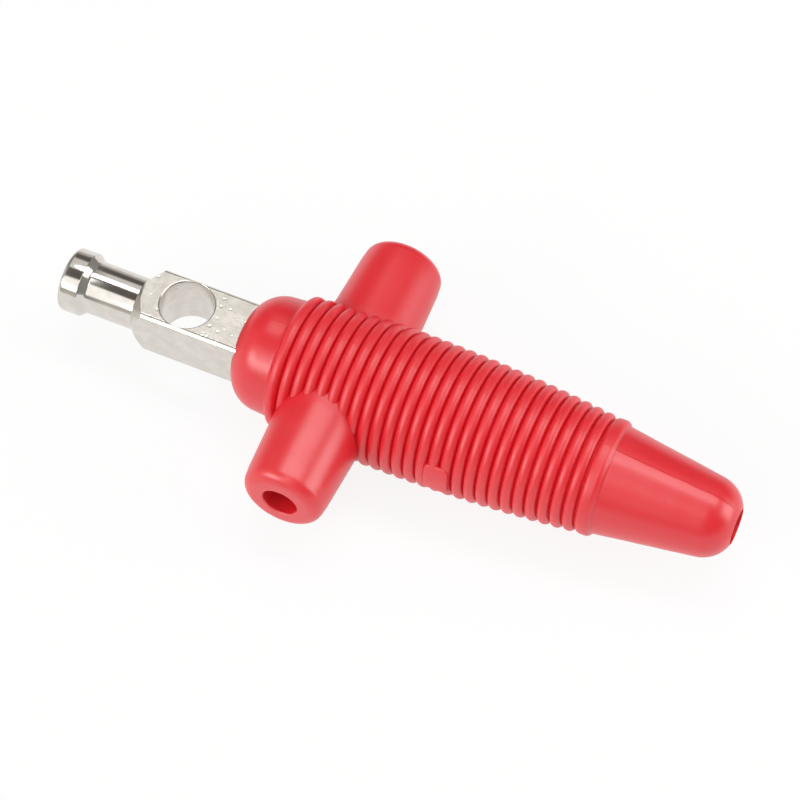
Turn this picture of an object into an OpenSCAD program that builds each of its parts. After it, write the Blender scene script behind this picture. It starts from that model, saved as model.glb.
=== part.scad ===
// Banana plug with a drilled square contact and a ribbed sleeve that takes a cable from three sides.
// The plug lies along X with its tip at the low end, and the two side entries point along Y.
// The origin is where the axis of the cross hole meets the axis of the plug.
// Distances called "from the tip" are measured along X from the front face of the contact.

/* [Contact] */
// Diameter of the head at the tip
head_d = 4.9; // [4.5:0.05:5.2]
// Length of the head from the tip to its rear rim
head_len = 1.65; // [1.4:0.05:2.2]
// Radius of the rounded front edge of the head
head_round = 0.35; // [0.1:0.05:0.6]
// Length of the sloped shoulder between the head and the neck
shoulder_len = 0.45; // [0.1:0.05:0.6]
// Diameter of the neck
neck_d = 4.05; // [3.6:0.05:4.2]
// Start of the square bar, from the tip
bar_start = 5.95; // [5:0.05:7]
// End of the square bar, from the tip
bar_end = 24.3; // [24:0.1:24.6]
// Width of the square bar across its flats
bar_w = 4.68; // [4.6:0.02:5]
// Width of the chamfers along the bar's edges
bar_chamfer = 0.28; // [0.2:0.01:0.4]
// Diameter of the cross hole through the bar
cross_d = 4.1; // [3.8:0.05:4.1]
// Axis of the cross hole, from the tip
cross_at = 9.8; // [9:0.05:10.5]
// Width of the broken edge around the cross hole
cross_rim = 0.12; // [0.08:0.01:0.15]
// Diameter of the wire hole across the bar
side_wire_d = 2; // [1.8:0.1:2.2]
// Diameter of the wire hole from the rear of the bar
rear_wire_d = 1.7; // [1.2:0.1:1.7]

/* [Clamp screw] */
// Outside diameter of the screw
screw_d = 2.9; // [2.5:0.1:3]
// Length of the screw
screw_len = 2; // [1.6:0.1:2.1]
// Depth of the screw's head below the top of the bar
screw_sink = 0.2; // [0.1:0.05:0.4]
// Width of the driver slot
slot_w = 0.5; // [0.4:0.05:0.7]
// Depth of the driver slot
slot_depth = 0.6; // [0.4:0.05:0.8]
// Height of the chamfer at the screw's tip
screw_tip = 0.3; // [0.1:0.05:0.5]

/* [Sleeve] */
// Front face of the sleeve, from the tip
collar_start = 14.36; // [14.2:0.02:14.6]
// Diameter of the smooth collar behind its rounded front edge
collar_d = 8.9; // [8.8:0.02:9]
// Diameter of the collar where it meets the first rib
collar_rear_d = 9.1; // [9:0.02:9.2]
// Radius of the collar's rounded front edge
collar_round = 2.6; // [1.5:0.1:2.8]
// Crest of the first rib, from the tip
rib_start = 18.62; // [18.5:0.01:18.8]
// Number of ribs, with the wide last one
rib_count = 27; // [25:1:27]
// Distance from one rib to the next
rib_pitch = 0.926; // [0.9:0.002:0.94]
// Radius of the rounded crest of a rib
rib_round = 0.5; // [0.49:0.01:0.55]
// Length by which the last rib is drawn out to the rear
land_len = 0.36; // [0.1:0.01:0.5]
// Diameter over the ribs where the grip is thickest
grip_d = 10.68; // [10.6:0.02:10.9]
// Thickest place of the grip, from the tip
grip_peak = 26.8; // [26:0.1:28]
// Radius of the arc that the rib crests follow along the grip
grip_arc = 138; // [132:1:160]
// Diameter of the tail under the rounded edge of the last rib
tail_d = 8.28; // [7.8:0.02:8.4]
// Diameter of the tail where its rounded end begins
tail_tip_d = 6.16; // [6:0.02:6.6]
// Radius of the tail's rounded end
tail_round = 2.5; // [1.5:0.1:2.6]
// Whole length of the plug
plug_len = 53.2; // [51:0.1:54]

/* [Side entries] */
// Axis of the side entries, from the tip
stub_at = 22.47; // [22.1:0.01:22.7]
// Distance between the outer ends of the two side entries
stub_span = 22.7; // [20:0.1:24]
// Diameter of a side entry where it leaves the grip
stub_base_d = 6.8; // [6.4:0.05:7]
// Diameter of a side entry at its outer end
stub_end_d = 6.2; // [5.8:0.05:6.4]
// Radius of the rounded edge at the outer end
stub_round = 0.95; // [0.4:0.05:1.2]
// Diameter of the three cable holes in the sleeve
cable_d = 2.7; // [2.2:0.1:3]

/* [Label pad] */
// Middle of the bare pad, from the tip
pad_at = 31.9; // [31:0.1:33]
// Width of the pad along the plug
pad_w = 1.9; // [1.6:0.1:2.4]
// Height of the pad
pad_h = 3.2; // [2.4:0.1:3.6]

/* [Hidden] */
$fn = 96;

// Free gap on each side between the bar and its socket
socket_gap = 0.05;
// Width of the chamfers along the edges of the socket, which leaves a gap at the bar's edges
socket_chamfer = 0.1;
// Free gap between the screw and its hole
screw_gap = 0.05;
// Overlap of joined shapes and overshoot of cutting shapes
lap = 0.5;
// Depth of the screw hole's floor below the plug's axis
screw_floor = 0.75;
// Free length in the socket behind the bar, where the wires spread
wire_room = 1;
// Height of the pad above the rib crests
pad_rise = 0.08;
// Depth of the pad's root below the rib crests
pad_root = 0.7;
// Radius of the corners of the pad
pad_corner = 0.4;
// Angle between the points of a rounded edge
arc_step = 10;

head_r = head_d / 2;
neck_r = neck_d / 2;
bar_half = bar_w / 2;
// Radius of the circle that holds the chamfered bar
bar_corner_r = norm([bar_half, bar_half - bar_chamfer]);
socket_end = bar_end + wire_room;
collar_r = collar_d / 2;
collar_rear_r = collar_rear_d / 2;
crest_r = grip_d / 2;
tail_r = tail_d / 2;
tail_tip_r = tail_tip_d / 2;
stub_end_r = stub_end_d / 2;
stub_reach = stub_span / 2;
// Start and end of the wide last rib, before its rounded edges
land_at = rib_start + (rib_count - 1) * rib_pitch;
land_end = land_at + land_len;
// Root of a side entry inside the grip, clear of the socket
stub_root = 3;

// Place on the X axis of a distance measured from the tip
function from_tip(d) = d - cross_at;

// Radius of the rib crests at a distance from the tip
function crest(d) = crest_r - grip_arc + sqrt(grip_arc * grip_arc - (d - grip_peak) * (d - grip_peak));

// Points of an arc about a centre, from one angle to another
function arc(centre, r, from, to) = [
    for (i = [0 : abs(to - from) / arc_step])
    let (a = from + i * arc_step * sign(to - from))
    centre + r * [cos(a), sin(a)]
];

// Outline of a square with chamfered corners
function chamfered_square(half, cut) = [
    for (q = [0 : 3], p = [[half, half - cut], [half - cut, half]])
    [p[0] * cos(90 * q) - p[1] * sin(90 * q), p[0] * sin(90 * q) + p[1] * cos(90 * q)]
];

// Turns a profile of radius and distance from the tip about the plug's axis
module turned() {
    translate([from_tip(0), 0, 0])
        rotate([0, 90, 0])
            rotate_extrude()
                children();
}

// Draws a section in Y and Z along the plug, between two distances from the tip
module drawn(start, end) {
    translate([from_tip(start), 0, 0])
        rotate([90, 0, 90])
            linear_extrude(end - start)
                children();
}

// Head, sloped shoulder and neck, run a little into the bar
module nose_profile() {
    neck_start = head_len + shoulder_len;
    polygon(concat(
        [[0, 0]],
        arc([head_r - head_round, head_round], head_round, -90, 0),
        [[head_r, head_len], [neck_r, neck_start], [neck_r, bar_start + lap], [0, bar_start + lap]]
    ));
}

// Turned limits of the bar: a cone at the front and a small chamfer at the rear
module bar_limit_profile() {
    cone_len = bar_corner_r + lap - neck_r;
    polygon([
        [0, bar_start],
        [neck_r, bar_start],
        [bar_corner_r + lap, bar_start + cone_len],
        [bar_corner_r + lap, bar_end - lap - bar_chamfer],
        [bar_corner_r - bar_chamfer, bar_end],
        [0, bar_end]
    ]);
}

// Vertical hole through the bar with its edges broken at both mouths
module cross_hole() {
    cross_r = cross_d / 2;
    mouth_r = cross_r + cross_rim + lap;
    top = bar_half + lap;
    rim = bar_half - cross_rim;
    rotate_extrude()
        polygon([[0, -top], [mouth_r, -top], [cross_r, -rim], [cross_r, rim], [mouth_r, top], [0, top]]);
}

// Wire holes from the rear and from both sides, and the screw hole that meets them
module wire_holes() {
    translate([from_tip(stub_at), 0, 0]) {
        rotate([90, 0, 0])
            cylinder(d = side_wire_d, h = bar_w + 2 * lap, center = true);
        rotate([0, 90, 0])
            cylinder(d = rear_wire_d, h = bar_end - stub_at + lap);
        translate([0, 0, -screw_floor])
            cylinder(d = screw_d + 2 * screw_gap, h = screw_floor + bar_half + lap);
    }
}

// Nickel-plated contact, turned and milled from one bar
module contact_bar() {
    color([0.82, 0.79, 0.75])
        difference() {
            union() {
                turned() nose_profile();
                intersection() {
                    drawn(bar_start - lap, bar_end + lap)
                        polygon(chamfered_square(bar_half, bar_chamfer));
                    turned() bar_limit_profile();
                }
            }
            cross_hole();
            wire_holes();
        }
}

// Slotted screw that holds the wires, sunk just below the top of the bar so that the sleeve slides over it
module clamp_screw() {
    color([0.75, 0.74, 0.7])
        translate([from_tip(stub_at), 0, bar_half - screw_sink - screw_len])
            difference() {
                union() {
                    cylinder(d1 = screw_d - 2 * screw_tip, d2 = screw_d, h = screw_tip);
                    translate([0, 0, screw_tip])
                        cylinder(d = screw_d, h = screw_len - screw_tip);
                }
                translate([-screw_d, -slot_w / 2, screw_len - slot_depth])
                    cube([2 * screw_d, slot_w, slot_depth + lap]);
            }
}

// Outline of the sleeve without its ribs: collar, core of the grip and rounded tail
module sleeve_core_profile() {
    polygon(concat(
        [[0, collar_start]],
        arc([collar_r - collar_round, collar_start + collar_round], collar_round, -90, 0),
        [[collar_rear_r, rib_start]],
        [for (i = [0 : rib_count - 1]) let (d = rib_start + i * rib_pitch) [crest(d) - rib_round, d]],
        [[crest(land_at) - rib_round, land_end], [tail_r, land_end]],
        arc([tail_tip_r - tail_round, plug_len - tail_round], tail_round, arc_step, 90),
        [[0, plug_len]]
    ));
}

// Rounded crests of the ribs, with the last one drawn out to the rear
module rib_profile() {
    for (i = [0 : rib_count - 1]) {
        d = rib_start + i * rib_pitch;
        translate([crest(d) - rib_round, d])
            circle(rib_round);
    }
    translate([crest(land_at) - rib_round, land_end])
        circle(rib_round);
    translate([crest(land_at) - rib_round - lap, land_at])
        square([rib_round + lap, land_end - land_at]);
}

// Tapered side entry with a rounded end, before its hole is made
module side_entry() {
    taper = (stub_base_d - stub_end_d) / 2 / (stub_reach - crest_r);
    root_r = stub_base_d / 2 + taper * (crest_r - stub_root);
    translate([from_tip(stub_at), 0, 0])
        rotate([-90, 0, 0])
            rotate_extrude()
                polygon(concat(
                    [[0, stub_root], [root_r, stub_root]],
                    arc([stub_end_r - stub_round, stub_reach - stub_round], stub_round, 0, 90),
                    [[0, stub_reach]]
                ));
}

// Outline of the bare pad, with rounded corners
module pad_outline() {
    w = pad_w / 2 - pad_corner;
    h = pad_h / 2 - pad_corner;
    polygon(concat(
        arc([w, h], pad_corner, 0, 90),
        arc([-w, h], pad_corner, 90, 180),
        arc([-w, -h], pad_corner, 180, 270),
        arc([w, -h], pad_corner, 270, 360)
    ));
}

// Bare pad on one side of the grip, curved with it and just above the rib crests
module label_pad() {
    pad_r = crest(pad_at) + pad_rise;
    intersection() {
        turned()
            translate([pad_r - pad_root, pad_at - pad_w])
                square([pad_root, 2 * pad_w]);
        translate([from_tip(pad_at), 0, 0])
            rotate([90, 0, 0])
                linear_extrude(pad_r + lap)
                    pad_outline();
    }
}

// Square socket for the bar and the three cable holes
module sleeve_hollows() {
    drawn(collar_start - lap, socket_end)
        polygon(chamfered_square(bar_half + socket_gap, socket_chamfer));
    translate([from_tip(stub_at), 0, 0])
        rotate([90, 0, 0])
            cylinder(d = cable_d, h = stub_span + 2 * lap, center = true);
    translate([from_tip(socket_end - lap), 0, 0])
        rotate([0, 90, 0])
            cylinder(d = cable_d, h = plug_len - socket_end + 2 * lap);
}

// Moulded sleeve with a smooth collar, a ribbed grip, two side entries and a tapered tail
module insulating_sleeve() {
    color([0.86, 0.12, 0.15])
        difference() {
            union() {
                turned() {
                    sleeve_core_profile();
                    rib_profile();
                }
                for (side = [0, 1])
                    mirror([0, side, 0])
                        side_entry();
                label_pad();
            }
            sleeve_hollows();
        }
}

contact_bar();
clamp_screw();
insulating_sleeve();
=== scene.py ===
"""Banana plug: a bright nickel contact and a clamp screw in a soft red sleeve, on a white table.

Sizes are in millimetres in the plug's own frame: X runs from the tip to the tail, the side entries point
along Y, and Z is up. Places written at(d) lie a distance d behind the tip. Meshes are made in metres.
"""
import math

import bpy
import numpy as np
from mathutils import Matrix, Vector


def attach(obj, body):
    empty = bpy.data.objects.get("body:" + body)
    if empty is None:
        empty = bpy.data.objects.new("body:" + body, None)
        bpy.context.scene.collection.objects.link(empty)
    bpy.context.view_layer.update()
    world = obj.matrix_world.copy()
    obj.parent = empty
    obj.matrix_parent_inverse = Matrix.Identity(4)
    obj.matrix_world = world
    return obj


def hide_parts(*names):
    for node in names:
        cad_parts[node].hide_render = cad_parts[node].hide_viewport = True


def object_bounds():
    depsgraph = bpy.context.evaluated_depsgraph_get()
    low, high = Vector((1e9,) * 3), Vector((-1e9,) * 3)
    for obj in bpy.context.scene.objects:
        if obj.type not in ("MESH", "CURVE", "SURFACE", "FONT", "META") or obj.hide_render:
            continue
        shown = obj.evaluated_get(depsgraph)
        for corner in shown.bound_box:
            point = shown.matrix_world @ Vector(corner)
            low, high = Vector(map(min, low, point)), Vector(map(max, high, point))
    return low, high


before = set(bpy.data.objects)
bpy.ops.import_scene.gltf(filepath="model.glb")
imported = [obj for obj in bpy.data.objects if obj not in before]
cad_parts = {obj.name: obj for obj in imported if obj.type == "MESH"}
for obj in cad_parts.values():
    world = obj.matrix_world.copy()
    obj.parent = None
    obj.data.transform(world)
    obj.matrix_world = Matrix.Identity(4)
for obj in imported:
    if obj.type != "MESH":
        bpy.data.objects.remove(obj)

cad_low, cad_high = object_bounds()

MM = 0.001
X, Y, Z = np.eye(3)

# The contact: head, neck, square bar, cross hole and wire holes
CROSS_AT = 9.8
HEAD_R, HEAD_ROUND, HEAD_LEN, SHOULDER_LEN = 2.45, 0.35, 1.65, 0.45
NECK_R = 2.025
BAR_START, BAR_END, BAR_HALF, BAR_CHAMFER = 5.95, 24.3, 2.34, 0.28
BAR_SOFT, HEAD_RIM, REAR_CUT_LEN, REAR_CUT_R = 0.3, 0.12, 0.5, 0.65
CROSS_R, CROSS_RIM = 2.05, 0.12
SIDE_WIRE_R, REAR_WIRE_R, DRILL_REACH = 1.0, 0.85, 3.0
SCREW_HOLE_R, SCREW_FLOOR = 1.5, -0.75

# The clamp screw
SCREW_R, SCREW_LEN, SCREW_SINK, SCREW_TIP, SCREW_BRIM = 1.45, 2.0, 0.2, 0.3, 0.1
SLOT_W, SLOT_DEPTH = 0.5, 0.6
THREAD_PITCH, THREAD_DEPTH = 0.5, 0.22

# The sleeve: collar, ribbed grip, tail, side entries and pad
SOCKET_HALF, SOCKET_CHAMFER, SOCKET_SOFT, SOCKET_END = 2.39, 0.1, 0.04, 25.3
COLLAR_START, COLLAR_R, COLLAR_REAR_R, COLLAR_ROUND = 14.36, 4.45, 4.55, 2.6
RIB_START, RIB_COUNT, RIB_PITCH, LAND_LEN = 18.62, 27, 0.926, 0.36
RIB_ROUND, RIB_SWEEP = 0.45, 73.0
FRONT_HOLLOW, FRONT_SINK, REAR_HOLLOW, REAR_SINK = 0.3, 0.03, 0.25, 0.05
GRIP_R, GRIP_PEAK, GRIP_ARC = 5.34, 26.8, 138.0
TAIL_R, TAIL_TIP_R, TAIL_ROUND, TAIL_SLOPE, PLUG_LEN = 4.14, 3.08, 2.5, 8.0, 53.19
STUB_AT, STUB_START, STUB_REACH = 22.47, 3.0, 11.35
STUB_BASE_R, STUB_END_R, STUB_ROUND = 3.4, 3.1, 0.95
CABLE_R, STUB_MOUTH_RIM, TAIL_MOUTH_RIM = 1.35, 0.07, 0.1
RIDGE_AT, RIDGE_RUN, RIDGE_WIDTH, GRIP_RIDGE, TAIL_RIDGE = 43.6, 1.2, 0.055, 0.008, 0.022
PAD_AT, PAD_HALF_W, PAD_HALF_H, PAD_RISE, PAD_ROOT = 31.9, 0.95, 1.6, 0.08, 0.7

# How far tools run past what they shape, and how far the mouths of cable holes widen past their ends
SPARE, MOUTH_PAST = 0.4, 0.6

# The camera: angles in degrees, distance, aim and sensor in millimetres, lens and picture in pixels
VIEW_BEARING, VIEW_HEIGHT, VIEW_DISTANCE = 23.8, 57.95, 228.3
VIEW_AIM = (17.056, 0.077, 0)
VIEW_LENS, PICTURE = 3130, 800
SENSOR = 36.0

# The table and the lamps, in metres
TABLE_HALF = 3.0
LAMP_AIM, LAMP_DISTANCE = (0.014, 0, 0), 0.4


def at(d):
    """Place on the X axis of a distance measured from the tip."""
    return d - CROSS_AT


def arc(cx, cr, radius, start, end, steps):
    """Points on an arc about (cx, cr).

    An angle a in degrees gives the place cx + radius sin a and the height cr + radius cos a.
    """
    a = np.radians(np.linspace(start, end, steps + 1))
    return np.column_stack([cx + radius * np.sin(a), cr + radius * np.cos(a)])


def between(start, end, steps):
    """Points that divide the line from start to end into even steps, without its two ends."""
    return start + np.linspace(0, 1, steps + 1)[1:-1, None] * (end - start)


def even_angles(count):
    """Angles that divide a full turn evenly."""
    return np.arange(count) * (2 * np.pi / count)


def ring_quads(rows, cols):
    """Faces of a grid of rows by cols points that closes on itself along the columns."""
    i, j = np.meshgrid(np.arange(rows - 1), np.arange(cols), indexing="ij")
    k = (j + 1) % cols
    this, after = i * cols, (i + 1) * cols
    return np.stack([this + j, this + k, after + k, after + j], -1).reshape(-1, 4)


def piece(name, points, faces):
    """A mesh object from points in millimetres and faces, which are lists of point numbers."""
    mesh = bpy.data.meshes.new(name)
    mesh.from_pydata((points * MM).tolist(), [], faces)
    mesh.update()
    made = bpy.data.objects.new(name, mesh)
    bpy.context.scene.collection.objects.link(made)
    return made


def closed_grid(name, grid, start, end):
    """A closed piece from a grid of rings, rows by columns by three.

    Its faces join each ring to the next, the first ring to a start point and the last ring to an end point.
    """
    rows, cols, _ = grid.shape
    points = np.concatenate([grid.reshape(-1, 3), [start], [end]])
    j = np.arange(cols)
    k = (j + 1) % cols
    first, last = rows * cols, rows * cols + 1
    front = np.column_stack([np.full(cols, first), k, j])
    back = np.column_stack([np.full(cols, last), (rows - 1) * cols + j, (rows - 1) * cols + k])
    return piece(name, points, ring_quads(rows, cols).tolist() + front.tolist() + back.tolist())


def turned(name, profile, angles, centre=(0, 0, 0), axes=(X, Y, Z), bulge=None):
    """A closed solid of turning.

    The profile holds places along the first axis and radii. A point is centre + place times the first axis
    + radius (cos a times the second axis + sin a times the third). bulge adds a height to the radius.
    """
    place, radius = profile[:, :1], profile[:, 1:] + (0 if bulge is None else bulge(profile, angles))
    along, out, side = axes
    grid = (
        np.asarray(centre)
        + place[..., None] * along
        + (radius * np.cos(angles))[..., None] * out
        + (radius * np.sin(angles))[..., None] * side
    )
    ends = [np.asarray(centre) + along * profile[n, 0] for n in (0, -1)]
    return closed_grid(name, grid, *ends)


def drawn(name, section, start, end):
    """A closed bar: a section in Y and Z drawn along X from one place to another."""
    ring = np.column_stack([np.zeros(len(section)), section])
    grid = np.stack([ring + X * start, ring + X * end])
    return closed_grid(name, grid, X * start, X * end)


def box_section(half, chamfer, soft):
    """Outline of a square with chamfers whose edges are rounded to the radius soft.

    Each of the eight edges turns by 45 degrees on an arc that touches both of its neighbours.
    """
    turn = np.radians(45)
    back = soft * math.tan(turn / 2)
    edges = []
    for q in range(4):
        for edge, heading in (((half, half - chamfer), 90.0), ((half - chamfer, half), 135.0)):
            h = np.radians(heading)
            along = np.array([math.cos(h), math.sin(h)])
            centre = np.array(edge) - back * along + soft * np.array([-along[1], along[0]])
            a = np.radians(heading - 90 + np.linspace(0, 45, 8))
            arc_points = centre + soft * np.column_stack([np.cos(a), np.sin(a)])
            c, s = math.cos(q * math.pi / 2), math.sin(q * math.pi / 2)
            edges.append(arc_points @ np.array([[c, s], [-s, c]]))
    return np.concatenate(edges)


def shape(base, *steps):
    """Joins solids to the base, cuts them from it or keeps what it shares with them, in order."""
    for operation, tool in steps:
        m = base.modifiers.new(operation.title(), "BOOLEAN")
        m.operation, m.solver, m.object = operation, "MANIFOLD", tool
    bpy.context.view_layer.update()
    graph = bpy.context.evaluated_depsgraph_get()
    result = bpy.data.meshes.new_from_object(base.evaluated_get(graph))
    base.modifiers.clear()
    old, base.data = base.data, result
    result.name = base.name
    bpy.data.meshes.remove(old)
    for _, tool in steps:
        bpy.data.meshes.remove(tool.data)
    return base


def finish_faces(made, angle, flat=True):
    """Shades a piece smooth, with edges over the angle left sharp. With flat set, flat faces stay flat."""
    made.data.shade_smooth()
    made.data.set_sharp_from_angle(angle=math.radians(angle))
    if flat:
        m = made.modifiers.new("Flat faces stay flat", "WEIGHTED_NORMAL")
        m.keep_sharp, m.weight = True, 60
    return made


def crest(d):
    """Radius of the rib crests: a wide arc along the grip, highest at its peak."""
    return GRIP_R - GRIP_ARC + np.sqrt(GRIP_ARC ** 2 - (d - GRIP_PEAK) ** 2)


def hollow(place, low, level, radius, side):
    """A hollow arc that leads from a level line into a rib and touches both.

    It lies before the rib (side -1) or behind it (side 1). Its centre is the two radii away from the rib's
    centre and one radius above the line. Returns the angle from the crest at which the rib ends, and the
    arc's points.
    """
    rise = level + radius - low
    away = RIB_ROUND + radius
    meet = math.degrees(math.acos(rise / away))
    centre = place + side * math.sqrt(away ** 2 - rise ** 2)
    ends = (180, 180 - meet) if side < 0 else (180 + meet, 180)
    return meet, arc(centre, level + radius, radius, *ends, 6)


def rib_line():
    """Places and radii over the ribs, from the hollow before the first to the one behind the wide last rib.

    Each rib is an arc about a centre one rib radius below its crest, swept by the same angle either way. Its
    flanks then run straight down to a narrow groove halfway to the next rib. The last rib is drawn out to the
    rear before it rounds off.
    """
    crests = RIB_START + np.arange(RIB_COUNT) * RIB_PITCH
    lows = crest(crests) - RIB_ROUND
    land = crests[-1] + LAND_LEN
    sweep = math.radians(RIB_SWEEP)
    gap = RIB_PITCH / 2 - RIB_ROUND * math.sin(sweep)
    bottoms = np.column_stack([
        crests + RIB_PITCH / 2, lows + RIB_ROUND * math.cos(sweep) - gap * math.tan(sweep),
    ])[:, None]
    first, front = hollow(crests[0], lows[0], COLLAR_REAR_R - FRONT_SINK, FRONT_HOLLOW, -1)
    last, rear = hollow(land, lows[-1], TAIL_R - REAR_SINK, REAR_HOLLOW, 1)
    return np.concatenate([
        front, arc(crests[0], lows[0], RIB_ROUND, -first, RIB_SWEEP, 16)[1:], bottoms[0],
        *[
            np.concatenate([arc(place, low, RIB_ROUND, -RIB_SWEEP, RIB_SWEEP, 14), bottom])
            for place, low, bottom in zip(crests[1:-1], lows[1:-1], bottoms[1:-1])
        ],
        arc(crests[-1], lows[-1], RIB_ROUND, -RIB_SWEEP, 0, 7),
        arc(land, lows[-1], RIB_ROUND, 0, last, 7), rear[1:],
    ])


def sleeve_line():
    """Outline of the sleeve: rounded front, slightly flared collar, ribs, tapered tail and rounded end."""
    front = arc(COLLAR_START + COLLAR_ROUND, COLLAR_R - COLLAR_ROUND, COLLAR_ROUND, -90, 0, 14)
    ribs = rib_line()
    collar = between(front[-1], ribs[0], 5)
    end = arc(PLUG_LEN - TAIL_ROUND, TAIL_TIP_R - TAIL_ROUND, TAIL_ROUND, TAIL_SLOPE, 90, 18)
    tail = between(ribs[-1], end[0], 40)
    return np.concatenate([front, collar, ribs, tail, end])


def parting_ridge(profile, angles):
    """Height of the mould's parting line above and below: faint on the grip, raised and uneven on the tail.

    It is a narrow bell across the XZ plane, full height at the plane and lower by that height elsewhere.
    """
    place = profile[:, :1]
    tail = np.clip((place - at(RIDGE_AT)) / RIDGE_RUN, 0, 1)
    uneven = 0.7 + 0.3 * np.sin(2.3 * place) * np.sin(0.9 * place + 1)
    height = GRIP_RIDGE + TAIL_RIDGE * tail * uneven
    away = np.abs(np.cos(angles)) * profile[:, 1:]
    return height * (np.exp(-((away / RIDGE_WIDTH) ** 2)) - 1)


def sleeve_angles():
    """Angles round the sleeve, evenly spaced, with close ones added at the two parting lines."""
    close = np.radians([-1.7, -1.1, -0.7, -0.35, 0.35, 0.7, 1.1, 1.7])
    return np.sort(np.concatenate([even_angles(144), np.pi / 2 + close, 1.5 * np.pi + close]))


def stub_line():
    """Outline of a side entry: a slight taper from inside the grip, a rounded edge and a flat end."""
    taper = (STUB_BASE_R - STUB_END_R) / (STUB_REACH - GRIP_R)
    y = np.linspace(STUB_START, STUB_REACH - STUB_ROUND, 14)[:-1]
    side = np.column_stack([y, STUB_END_R + taper * (STUB_REACH - y)])
    edge = arc(STUB_REACH - STUB_ROUND, STUB_END_R - STUB_ROUND, STUB_ROUND, 0, 90, 12)
    return np.concatenate([side, edge])


def power(value, exponent):
    """A number raised to an exponent with its sign kept."""
    return np.sign(value) * np.abs(value) ** exponent


def pad_pillow():
    """The bare pad: a rounded block bent round the near side of the grip.

    A superellipsoid of half sizes along the plug, round it and outwards is laid on the grip: its second
    coordinate becomes an angle about the plug's axis, counted from the -Y side.
    """
    u = np.linspace(-np.pi / 2, np.pi / 2, 26)[1:-1, None]
    v = even_angles(56)
    top = crest(PAD_AT) + PAD_RISE
    along = PAD_AT + PAD_HALF_W * power(np.cos(u), 0.25) * power(np.cos(v), 0.3)
    across = PAD_HALF_H * power(np.cos(u), 0.25) * power(np.sin(v), 0.3) / top
    out = top - PAD_ROOT / 2 + PAD_ROOT / 2 * power(np.sin(u), 0.35) + 0 * v
    grid = np.stack([at(along), -out * np.cos(across), out * np.sin(across)], -1)
    ends = [(at(PAD_AT), -(top - PAD_ROOT), 0), (at(PAD_AT), -top, 0)]
    return closed_grid("pad", grid, *map(np.array, ends))


def hole_line(radius, start, end, rim):
    """Outline of a cutting cylinder whose mouth widens by 45 degrees just inside its end."""
    return np.array([[start, radius], [end - rim, radius], [end + MOUTH_PAST, radius + rim + MOUTH_PAST]])


def make_sleeve():
    """The whole moulding: turned body, two side entries and pad, less the socket and the cable holes."""
    line = sleeve_line()
    line[:, 0] = at(line[:, 0])
    body = turned("sleeve", line, sleeve_angles(), bulge=parting_ridge)
    stub = (at(STUB_AT), 0, 0)
    near = turned("near_entry", stub_line(), even_angles(112), stub, (-Y, X, Z))
    far = turned("far_entry", stub_line(), even_angles(112), stub, (Y, Z, X))
    bore = box_section(SOCKET_HALF, SOCKET_CHAMFER, SOCKET_SOFT)
    socket = drawn("socket", bore, at(COLLAR_START - 1), at(SOCKET_END))
    mouth = hole_line(CABLE_R, 0.0, STUB_REACH, STUB_MOUTH_RIM)
    near_hole = turned("near_hole", mouth, even_angles(72), stub, (-Y, X, Z))
    far_hole = turned("far_hole", mouth, even_angles(72), stub, (Y, Z, X))
    tail_mouth = hole_line(CABLE_R, at(SOCKET_END - 1), at(PLUG_LEN), TAIL_MOUTH_RIM)
    rear_hole = turned("rear_hole", tail_mouth, even_angles(72))
    shape(body, *[("UNION", solid) for solid in (near, far, pad_pillow())])
    shape(body, *[("DIFFERENCE", solid) for solid in (socket, near_hole, far_hole, rear_hole)])
    return finish_faces(body, 38, flat=False)


def nose_line():
    """Outline of the head, its sloped shoulder and the neck, run a little way into the bar."""
    edge = arc(HEAD_ROUND, HEAD_R - HEAD_ROUND, HEAD_ROUND, -90, 0, 10)
    rim = arc(HEAD_LEN - HEAD_RIM, HEAD_R - HEAD_RIM, HEAD_RIM, 0, 43, 5)
    foot = HEAD_LEN + SHOULDER_LEN
    # The first three points round the corner between shoulder and neck
    neck = np.array([
        [foot - 0.1, NECK_R + 0.09], [foot - 0.02, NECK_R + 0.03], [foot + 0.08, NECK_R],
        [BAR_START, NECK_R], [BAR_START + 1.0, NECK_R],
    ])
    return np.concatenate([edge, rim, neck])


def bar_limit_line():
    """Outline that bounds the bar: a cone of 45 degrees at the front and a small chamfer at the rear."""
    reach = math.hypot(BAR_HALF, BAR_HALF - BAR_CHAMFER) + SPARE
    return np.array([
        [BAR_START, NECK_R - 0.01], [BAR_START + reach - NECK_R, reach],
        [BAR_END - REAR_CUT_LEN, reach], [BAR_END, reach - REAR_CUT_R],
    ])


def drilled(name, radius, start, end, sides, axes):
    """A plain drill centred where the clamp screw sits, between two distances along its own axis."""
    line = np.array([[start, radius], [end, radius]])
    return turned(name, line, even_angles(sides), (at(STUB_AT), 0, 0), axes)


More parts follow.
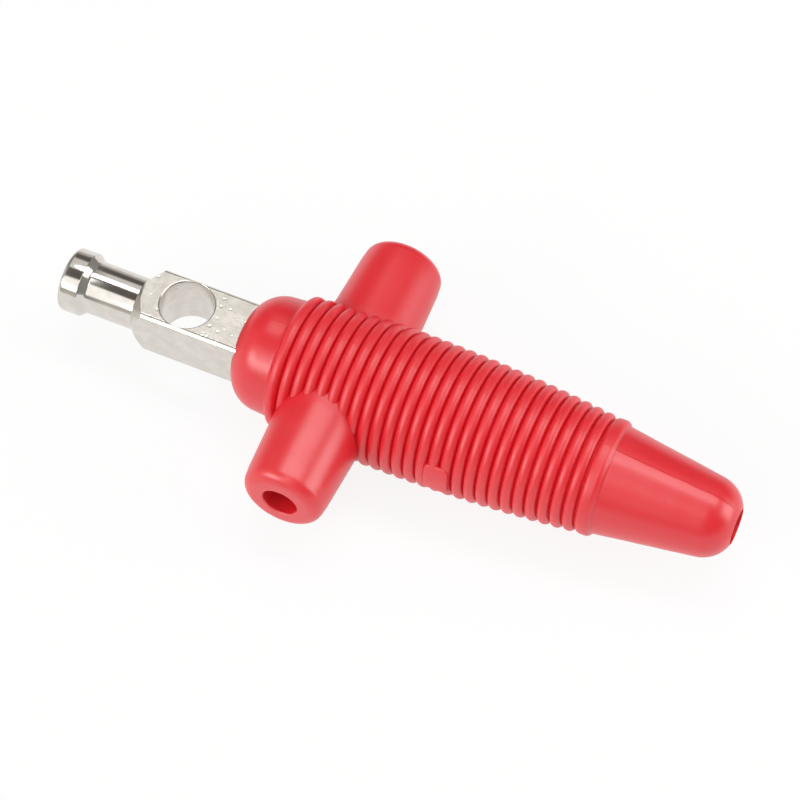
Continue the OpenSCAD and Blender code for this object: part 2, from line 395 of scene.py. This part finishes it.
def make_contact():
    """The contact: the square bar within its turned limits, joined to the nose, less all its holes.

    The cross hole's cutter is turned too, and widens on a quarter round at both of its mouths.
    """
    section = box_section(BAR_HALF, BAR_CHAMFER, BAR_SOFT)
    bar = drawn("contact", section, at(BAR_START - SPARE), at(BAR_END + SPARE))
    limit, nose = bar_limit_line(), nose_line()
    limit[:, 0], nose[:, 0] = at(limit[:, 0]), at(nose[:, 0])
    edge = arc(BAR_HALF - CROSS_RIM, CROSS_R + CROSS_RIM, CROSS_RIM, 180, 90, 6)
    half = np.concatenate([edge, [[BAR_HALF + SPARE, CROSS_R + SPARE]]])
    cross = np.concatenate([half[::-1] * [-1, 1], half])
    shape(
        bar,
        ("INTERSECT", turned("limit", limit, even_angles(144))),
        ("UNION", turned("nose", nose, even_angles(144))),
        ("DIFFERENCE", turned("cross", cross, even_angles(120), axes=(Z, X, Y))),
        ("DIFFERENCE", drilled("side_wire", SIDE_WIRE_R, -DRILL_REACH, DRILL_REACH, 48, (Y, Z, X))),
        ("DIFFERENCE", drilled("rear_wire", REAR_WIRE_R, 0, DRILL_REACH, 48, (X, Y, Z))),
        ("DIFFERENCE", drilled("tapped", SCREW_HOLE_R, SCREW_FLOOR, DRILL_REACH, 64, (Z, X, Y))),
    )
    return finish_faces(bar, 30)


def make_screw():
    """The clamp screw: a threaded cylinder with a pointed tip and a driver slot.

    The radius falls from the crest by the thread's depth as a triangle wave of the height less the share
    of a turn, so the groove climbs one pitch for each turn. The wave is cut off flat at the root.
    """
    top = BAR_HALF - SCREW_SINK
    z = np.linspace(top - SCREW_LEN, top, 61)[:, None]
    angles = even_angles(72)
    wave = np.abs(((z / THREAD_PITCH - angles / (2 * np.pi)) % 1.0) * 2 - 1)
    point = SCREW_R - SCREW_TIP + (z - z[0])
    brim = SCREW_R - SCREW_BRIM + (top - z)
    limit = np.minimum(SCREW_R, np.minimum(point, brim))
    radius = np.minimum(SCREW_R - THREAD_DEPTH * np.clip(wave * 1.25, 0, 1), limit)
    grid = np.stack([at(STUB_AT) + radius * np.cos(angles), radius * np.sin(angles), z + 0 * angles], -1)
    ends = [np.array([at(STUB_AT), 0, z[n, 0]]) for n in (0, -1)]
    made = closed_grid("screw", grid, *ends)
    half = np.array([[-1, -1], [1, -1], [1, 1], [-1, 1]]) * [SLOT_W / 2, SLOT_DEPTH] + [0, top]
    slot = drawn("slot", half, at(STUB_AT) - 2, at(STUB_AT) + 2)
    return finish_faces(shape(made, ("DIFFERENCE", slot)), 30)


class Value:
    """A number that varies over a surface; arithmetic on it adds Math nodes."""

    def __init__(self, paint, socket):
        self.paint, self.socket = paint, socket

    def math(self, operation, *others):
        """One Math node on this number and the others."""
        return self.paint.node("ShaderNodeMath", {"operation": operation}, [self, *others])

    def __add__(self, other):
        return self.math("ADD", other)

    def __sub__(self, other):
        return self.math("SUBTRACT", other)

    def __mul__(self, other):
        return self.math("MULTIPLY", other)

    def __radd__(self, other):
        return self + other

    def __rmul__(self, other):
        return self * other

    def __rsub__(self, other):
        return self.paint.node("ShaderNodeMath", {"operation": "SUBTRACT"}, [other, self])

    def step(self, low, high):
        """Rises smoothly from 0 at low to 1 at high."""
        limits = {"Value": self, "From Min": low, "From Max": high}
        return self.paint.node("ShaderNodeMapRange", {"interpolation_type": "SMOOTHSTEP"}, limits)


class Paint:
    """The nodes of one material or world, with a method that makes any node."""

    def __init__(self, owner):
        owner.use_nodes = True
        self.tree = owner.node_tree
        self.tree.nodes.clear()

    def node(self, kind, settings=None, inputs=(), output=0):
        """Makes a node of a type, with settings and then inputs by name or in order. Returns one output."""
        made = self.tree.nodes.new(kind)
        for key, value in (settings or {}).items():
            setattr(made, key, value)
        pairs = inputs.items() if isinstance(inputs, dict) else enumerate(inputs)
        for key, value in pairs:
            if isinstance(value, Value):
                self.tree.links.new(value.socket, made.inputs[key])
            else:
                made.inputs[key].default_value = value
        return Value(self, made.outputs[output])

    def place(self, scale=1.0):
        """The piece's own coordinates in millimetres, stretched by a scale along each axis."""
        here = self.node("ShaderNodeTexCoord", output="Object")
        size = np.broadcast_to(scale, 3) / MM
        return self.node("ShaderNodeMapping", None, {"Vector": here, "Scale": tuple(float(v) for v in size)})

    def axis(self, name):
        """One coordinate of the piece, in millimetres."""
        return self.node("ShaderNodeSeparateXYZ", None, [self.place()], "XYZ".index(name))

    def noise(self, size, detail, stretch=(1, 1, 1)):
        """Soft noise with lumps of about a size in millimetres, longer along each axis by its stretch."""
        where = self.place(tuple(1.0 / (size * s) for s in stretch))
        return self.node("ShaderNodeTexNoise", None, {"Vector": where, "Scale": 1.0, "Detail": detail})

    def mix(self, share, first, second):
        """A colour between two others."""
        return self.node("ShaderNodeMix", {"data_type": "RGBA"}, {0: share, 6: first, 7: second}, 2)

    def surface(self, shader, kind="ShaderNodeOutputMaterial"):
        """Ends the tree in an output node that shows the shader."""
        end = self.tree.nodes.new(kind)
        self.tree.links.new(shader.socket, end.inputs["Surface"])


def material(name):
    """A new material and its empty tree."""
    made = bpy.data.materials.new(name)
    return made, Paint(made)


def red_plastic():
    """Satin plastic with a fine grain, a full red: paler on the near entry as painted sheen, duller on the
    ribs.
    """
    made, p = material("red_plastic")
    x, y, z = (p.axis(name) for name in "XYZ")
    cloud = p.noise(3.0, 3.0)
    grain = p.noise(0.16, 3.0)
    # Painted sheen: the near entry is made paler, in place of a highlight from the lamps; the cloud adds
    # random paler blotches
    near_sheen_and_blotches = (0 - y).step(4.5, 8.0) * 0.5 + cloud.step(0.35, 0.7) * 0.15
    colour = p.mix(near_sheen_and_blotches, (0.75, 0.004, 0.0165, 1), (0.77, 0.032, 0.042, 1))
    ribbed = x.step(at(18.0), at(18.5)) * (1 - x.step(at(43.1), at(43.6)))
    # The side entries stand out of the grip where the squared radius passes 30 to 33
    grip = ribbed * (1 - (y * y + z * z).step(30.0, 33.0))
    rough = 0.26 + cloud * 0.1 + grain * 0.06 + grip * 0.08
    bump = p.node("ShaderNodeBump", None, {"Strength": 0.12, "Distance": 0.00003, "Height": grain})
    shader = p.node("ShaderNodeBsdfPrincipled", None, {
        "Base Color": colour, "Roughness": rough, "Normal": bump, "IOR": 1.5, "Specular IOR Level": 1.0,
        "Subsurface Weight": 0.8, "Subsurface Radius": (1.0, 0.1, 0.08), "Subsurface Scale": 0.0005,
    })
    p.surface(shader)
    return made


def nickel():
    """Bright nickel: mirror bright with fine rings on the turned nose, satin with tiny pits on the bar."""
    made, p = material("nickel")
    x = p.axis("X")
    bar = x.step(at(BAR_START) - 0.05, at(BAR_START) + 0.25)
    rings = p.noise(0.05, 2.0, (1, 400, 400))
    draw = p.noise(0.07, 2.0, (60, 1, 1))
    pits = p.node("ShaderNodeTexVoronoi", {"feature": "F1"}, {"Vector": p.place(), "Scale": 1.6})
    pit = 1 - pits.step(0.06, 0.26)
    cloud = p.noise(0.9, 3.0)
    colour = p.mix(cloud.step(0.3, 0.75), (0.67, 0.63, 0.58, 1), (0.74, 0.7, 0.65, 1))
    rough = 0.09 + rings * 0.05 + bar * (0.06 + cloud * 0.1)
    height = (1 - bar) * rings * 0.3 + bar * (draw * 0.3 + cloud * 0.2 - pit * 2.2)
    bump = p.node("ShaderNodeBump", None, {"Strength": 0.16, "Distance": 0.00003, "Height": height})
    shader = p.node("ShaderNodeBsdfPrincipled", None, {
        "Base Color": colour, "Metallic": 1.0, "Roughness": rough, "Normal": bump,
    })
    p.surface(shader)
    return made


def plated_steel():
    """Plated steel of the clamp screw: a grey metal with fine cutting marks."""
    made, p = material("plated_steel")
    marks = p.noise(0.12, 3.0, (1, 6, 1))
    colour = p.mix(marks.step(0.3, 0.7), (0.5, 0.49, 0.46, 1), (0.62, 0.61, 0.58, 1))
    bump = p.node("ShaderNodeBump", None, {"Strength": 0.2, "Distance": 0.00002, "Height": marks})
    shader = p.node("ShaderNodeBsdfPrincipled", None, {
        "Base Color": colour, "Metallic": 1.0, "Roughness": 0.28 + marks * 0.14, "Normal": bump,
    })
    p.surface(shader)
    return made


def white_table():
    """A table that looks plain white in the view and in reflections, and still takes the plug's shadow."""
    made, p = material("white_table")
    camera = p.node("ShaderNodeLightPath", output="Is Camera Ray")
    glossy = p.node("ShaderNodeLightPath", output="Is Glossy Ray")
    through = p.node("ShaderNodeLightPath", output="Is Transmission Ray")
    seen = (camera + glossy + through).math("MINIMUM", 1.0)
    matt = p.node("ShaderNodeBsdfDiffuse", None, {"Color": (0.92, 0.92, 0.91, 1)})
    glow = p.node("ShaderNodeEmission", None, {"Color": (1, 1, 1, 1), "Strength": 1.0})
    p.surface(p.node("ShaderNodeMixShader", None, [seen * 0.88, matt, glow]))
    return made


def lamp(name, direction, size, brightness, side=None):
    """A soft rectangular lamp that looks at the plug from a direction.

    Its first side is level, or lies along the side that is given. Its power is its brightness times its area
    times pi, as of a plain glowing sheet.
    """
    light = bpy.data.lights.new(name, "AREA")
    light.shape, light.size, light.size_y = "RECTANGLE", size[0], size[1]
    light.energy = brightness * size[0] * size[1] * math.pi
    made = bpy.data.objects.new(name, light)
    bpy.context.scene.collection.objects.link(made)
    back = Vector(direction).normalized()
    side = Vector(side) if side else Vector((0, 0, 1)).cross(back)
    right = (side - back * side.dot(back)).normalized()
    turn = Matrix((right, back.cross(right), back)).transposed().to_4x4()
    made.matrix_world = Matrix.Translation(Vector(LAMP_AIM) + back * LAMP_DISTANCE) @ turn
    made.visible_camera = False


def stand():
    """The table, level with the lowest point of the plug."""
    corners = np.array([[-1, -1, 0], [1, -1, 0], [1, 1, 0], [-1, 1, 0]]) * TABLE_HALF / MM
    table = piece("table", corners + Z * cad_low.z / MM, [[0, 1, 2, 3]])
    table.data.materials.append(white_table())


def room():
    """The room, plain white to the camera.

    For the plug its grey follows the direction, in smooth steps: a paler left side, a bright near side, and
    over the tip a pale ceiling between dark gaps, which the bright metal mirrors as bands.
    """
    world = bpy.data.worlds.new("room")
    bpy.context.scene.world = world
    p = Paint(world)
    camera = p.node("ShaderNodeLightPath", output="Is Camera Ray")
    way = p.node("ShaderNodeTexCoord", output="Generated")
    x, y, z = (p.node("ShaderNodeSeparateXYZ", None, [way], n) for n in range(3))
    ceiling = y.step(0.06, 0.16) * (1 - y.step(0.64, 0.76))
    near = (1 - y.step(-0.5, -0.38)) * z.step(0.22, 0.32)
    low = (1 - z.step(0.1, 0.4)) * y.math("ABSOLUTE").step(0.5, 0.8)
    slot = x.step(-0.46, -0.36) * (1 - x.step(-0.14, -0.06))
    left = (1 - x.step(-0.75, -0.5)) * (1 - y.step(0.05, 0.3))
    walls = p.mix(left, (0.3, 0.3, 0.29, 1), (0.6, 0.59, 0.57, 1))
    shade = p.mix(low, (0.13, 0.115, 0.105, 1), (0.6, 0.58, 0.55, 1))
    inner = p.mix(ceiling, p.mix(slot, walls, shade), p.mix(slot, walls, (0.8, 0.79, 0.77, 1)))
    seen = p.mix(near * (1 - x.step(0.0, 0.3)), inner, (1.35, 1.34, 1.32, 1))
    dim = p.node("ShaderNodeBackground", None, {"Color": seen, "Strength": 1.0})
    white = p.node("ShaderNodeBackground", None, {"Color": (1, 1, 1, 1), "Strength": 1.0})
    p.surface(p.node("ShaderNodeMixShader", None, [camera, dim, white]), "ShaderNodeOutputWorld")


def studio():
    """Table, room and four soft lamps, with colours shown as they are."""
    bpy.context.scene.view_settings.view_transform = "Standard"
    stand()
    room()
    lamp("key_lamp", (0.06, -0.3, 0.95), (0.1, 0.26), 2.1)
    lamp("left_lamp", (-0.55, -0.7, 0.45), (0.24, 0.1), 5.5)
    lamp("top_lamp", (0.1, 0.27, 0.96), (0.4, 0.11), 4.2, (1, 0, 0))
    lamp("rear_lamp", (0.9, 0.3, 0.32), (0.22, 0.28), 3.2)


def photo_camera():
    """The camera: a bearing, a height angle and a distance from a point on the plug, and a long lens."""
    bearing, height = math.radians(VIEW_BEARING), math.radians(VIEW_HEIGHT)
    flat = math.cos(height)
    back = Vector((math.sin(bearing) * flat, -math.cos(bearing) * flat, math.sin(height)))
    right = Vector((math.cos(bearing), math.sin(bearing), 0))
    data = bpy.data.cameras.new("camera")
    data.sensor_width, data.lens = SENSOR, SENSOR * VIEW_LENS / PICTURE
    data.clip_start, data.clip_end = 0.01, 20
    made = bpy.data.objects.new("camera", data)
    bpy.context.scene.collection.objects.link(made)
    turn = Matrix((right, back.cross(right), back)).transposed().to_4x4()
    made.matrix_world = Matrix.Translation((Vector(VIEW_AIM) + back * VIEW_DISTANCE) * MM) @ turn
    bpy.context.scene.camera = made


PIECES = (
    (make_contact, nickel, "contact_bar", "contact", "nickel"),
    (make_screw, plated_steel, "clamp_screw", "screw", "steel"),
    (make_sleeve, red_plastic, "insulating_sleeve", "sleeve", "red_plastic"),
)

photo_camera()
studio()
for make, finish, node, body, slot in PIECES:
    made = make()
    made.data.materials.clear()
    made.data.materials.append(finish())
    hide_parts(node)
    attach(made, body)
